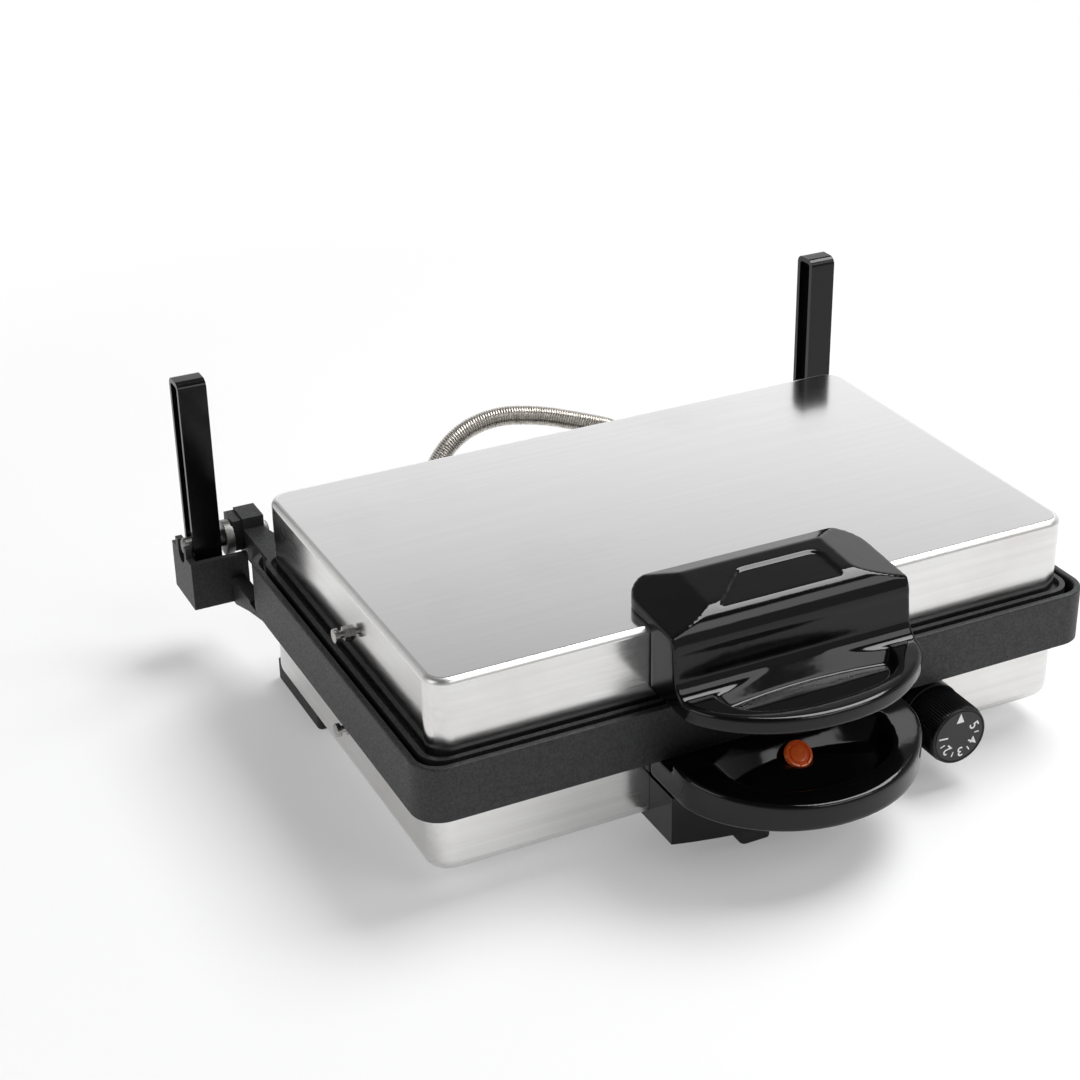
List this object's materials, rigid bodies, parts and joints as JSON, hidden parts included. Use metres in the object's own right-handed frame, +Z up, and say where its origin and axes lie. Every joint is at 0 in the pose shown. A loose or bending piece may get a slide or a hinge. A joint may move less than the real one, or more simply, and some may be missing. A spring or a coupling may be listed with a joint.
{
  "type": "countertop contact grill",
  "caption": "Countertop contact grill with ribbed plates, steel covers, a floating hinged lid in slotted rear posts, scooped front handles and a thermostat knob.",
  "frame": {"origin": "on the table under the middle of the grill's outline, feet at z = 0", "axes": "+X to the cook's right along the hinge, +Y from the handles back to the hinge posts, +Z up"},
  "size_m": [0.452, 0.398, 0.182],
  "materials": {
    "cover_steel": "satin brushed stainless sheet",
    "plate_coat": "black speckled textured coat over cast aluminium",
    "handle_plastic": "glossy black phenolic moulding",
    "post_black": "semi-gloss black enamel on steel strap",
    "bright_steel": "bright plated steel",
    "element_steel": "heat-tinted element sheath",
    "reflector_sheet": "bright rolled sheet",
    "ceramic": "unglazed white ceramic",
    "conduit_steel": "ribbed flexible steel conduit",
    "knob_plastic": "satin black moulding",
    "dial_plastic": "satin black disc with white scale marks",
    "lens_orange": "translucent orange-red lens",
    "lamp_glass": "clear neon lamp",
    "thermostat_case": "plated steel case",
    "foot_rubber": "black rubber"
  },
  "bodies": {
    "base": {"lower_cover": "cover_steel", "lower_grill_plate": "plate_coat", "lower_heating_element": "element_steel", "lower_element_clamps": "bright_steel", "lower_element_terminals": "ceramic", "lower_reflector": "reflector_sheet", "lower_handle": "handle_plastic", "lower_handle_bracket": "handle_plastic", "lower_handle_screws": "bright_steel", "lower_tie_screws": "bright_steel", "indicator_lens": "lens_orange", "indicator_lamp": "lamp_glass", "thermostat_body": "thermostat_case", "thermostat_bezel": "knob_plastic", "front_feet": "foot_rubber", "rear_feet": "foot_rubber", "guide_post_left": "post_black", "guide_post_right": "post_black", "guide_post_bolts": "bright_steel", "conduit": "conduit_steel", "conduit_gland_lower": "bright_steel", "terminal_block": "ceramic", "cord_gland": "foot_rubber", "earth_screw": "bright_steel"},
    "carriage": {"hinge_pin_left": "bright_steel", "hinge_pin_right": "bright_steel", "pin_clips": "bright_steel"},
    "lid": {"upper_cover": "cover_steel", "upper_grill_plate": "plate_coat", "upper_heating_element": "element_steel", "upper_element_clamps": "bright_steel", "upper_element_terminals": "ceramic", "upper_reflector": "reflector_sheet", "upper_handle": "handle_plastic", "upper_handle_screws": "bright_steel", "upper_tie_screws": "bright_steel", "conduit_gland_upper": "bright_steel", "lid_terminal_block": "ceramic"},
    "knob": {"thermostat_knob": "knob_plastic", "thermostat_dial": "dial_plastic", "thermostat_shaft": "bright_steel"}
  },
  "joints": [
    {"name": "lid_float", "type": "slide", "parent": "base", "child": "carriage", "axis": [0, 0, 1], "range_m": [0, 0.097], "deforming": ["conduit"]},
    {"name": "lid_hinge", "type": "hinge", "parent": "carriage", "child": "lid", "pos_m": [0, 0.1806, 0.076], "axis": [-1, 0, 0], "range_deg": [0, 180], "deforming": ["conduit"]},
    {"name": "thermostat_turn", "type": "hinge", "parent": "base", "child": "knob", "pos_m": [0.101, -0.1179, 0.033], "axis": [0, 1, 0], "range_deg": [0, 300]}
  ]
}
